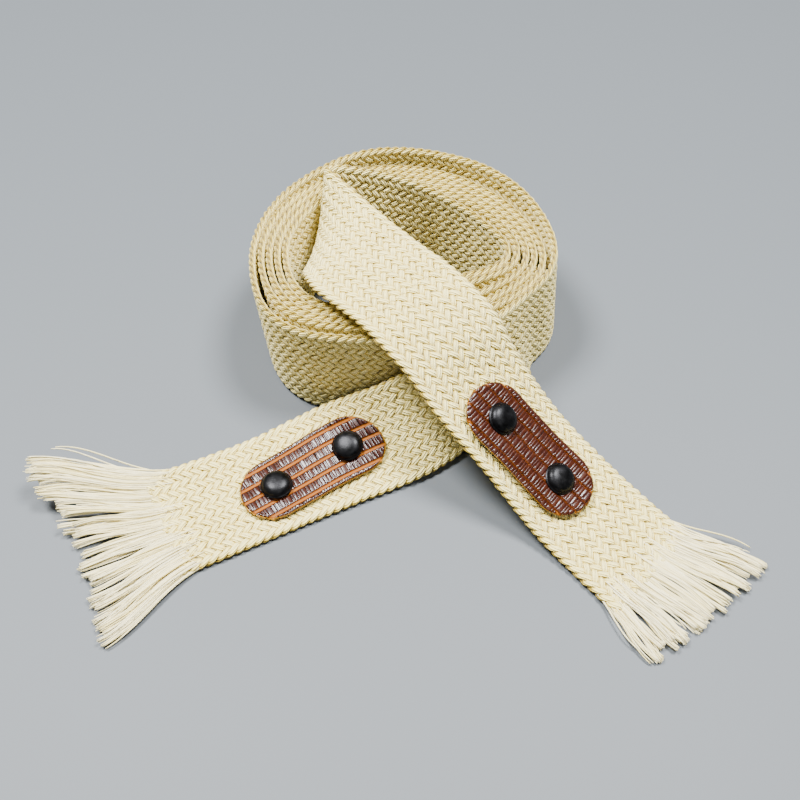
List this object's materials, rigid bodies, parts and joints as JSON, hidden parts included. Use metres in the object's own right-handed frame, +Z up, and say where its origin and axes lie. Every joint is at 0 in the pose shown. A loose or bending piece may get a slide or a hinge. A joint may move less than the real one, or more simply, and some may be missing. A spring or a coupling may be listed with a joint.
{
  "type": "martial arts belt",
  "caption": "Flat braided cotton martial arts belt rolled on edge, with leather patches, domed rivets and fringed ends drawn out in front.",
  "frame": {"origin": "on the table, under the middle of the whole object's box", "axes": "+Z up; the roll is at the back (+Y) and both free ends come out to the front (-Y), the outer end to -X"},
  "size_m": [0.2405, 0.1942, 0.053],
  "materials": {
    "braided_cotton": "matt flat-braided cotton yarn",
    "loose_cotton": "matt unbraided cotton strands",
    "embossed_leather": "glossy leather embossed with a reptile grain",
    "black_rivet": "satin black"
  },
  "bodies": {
    "roll": {"band_roll": "braided_cotton"},
    "outer_end": {"band_outer_end": "braided_cotton", "leather_patch_outer": "embossed_leather", "rivet_cap_outer_1": "black_rivet", "rivet_cap_outer_2": "black_rivet", "rivet_post_outer_1": "black_rivet", "rivet_post_outer_2": "black_rivet", "fringe_tuft_outer_1": "loose_cotton", "fringe_tuft_outer_2": "loose_cotton", "fringe_tuft_outer_3": "loose_cotton", "fringe_tuft_outer_4": "loose_cotton", "fringe_tuft_outer_5": "loose_cotton", "fringe_tuft_outer_6": "loose_cotton", "fringe_tuft_outer_7": "loose_cotton", "fringe_tuft_outer_8": "loose_cotton"},
    "inner_end": {"band_inner_end": "braided_cotton", "leather_patch_inner": "embossed_leather", "rivet_cap_inner_1": "black_rivet", "rivet_cap_inner_2": "black_rivet", "rivet_post_inner_1": "black_rivet", "rivet_post_inner_2": "black_rivet", "fringe_tuft_inner_1": "loose_cotton", "fringe_tuft_inner_2": "loose_cotton", "fringe_tuft_inner_3": "loose_cotton", "fringe_tuft_inner_4": "loose_cotton", "fringe_tuft_inner_5": "loose_cotton", "fringe_tuft_inner_6": "loose_cotton", "fringe_tuft_inner_7": "loose_cotton"}
  },
  "joints": [
    {"name": "outer_end_lift", "type": "hinge", "parent": "roll", "child": "outer_end", "pos_m": [0.01225, -0.03238, 0.00251], "axis": [-0.4723, 0.6947, 0.5426], "range_deg": [0, 40]},
    {"name": "inner_end_lift", "type": "hinge", "parent": "roll", "child": "inner_end", "pos_m": [0.00145, -0.01493, 0.04264], "axis": [-0.751, -0.6539, -0.0918], "range_deg": [0, 40]}
  ]
}
